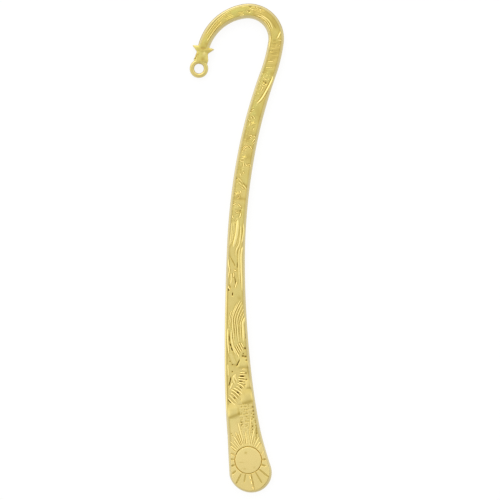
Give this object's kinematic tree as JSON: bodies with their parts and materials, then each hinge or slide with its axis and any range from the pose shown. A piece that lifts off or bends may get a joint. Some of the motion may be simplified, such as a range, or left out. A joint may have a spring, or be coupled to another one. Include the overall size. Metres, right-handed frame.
{
  "type": "hook bookmark",
  "caption": "Flat gold-coloured metal hook bookmark: S-curved tapering stem with raised sun, cloud and comet ornament, a star at the crook's tip and a small hanging ring for a cord.",
  "frame": {"origin": "middle of the overall box in X and Y, on the flat back, which lies on the table", "axes": "+Z out of the ornamented front, +Y up the stem towards the crook, +X to the right of someone who looks at the front with the crook at the top"},
  "size_m": [0.0236, 0.1228, 0.003],
  "materials": {
    "gold": "polished"
  },
  "bodies": {
    "root": {"crook_body": "gold", "hanging_ring": "gold", "star": "gold", "sun_disc": "gold", "sun_rays": "gold", "sun_petals": "gold", "clouds": "gold", "cloud_curls": "gold", "wind_plume": "gold", "wind_sweeps": "gold", "ribbons": "gold", "chevrons": "gold", "small_stars": "gold", "crescent_moon": "gold", "moon_beads": "gold", "neck_ripples": "gold", "crown_rim": "gold", "crown_curls": "gold", "comet_trail": "gold"}
  },
  "joints": []
}
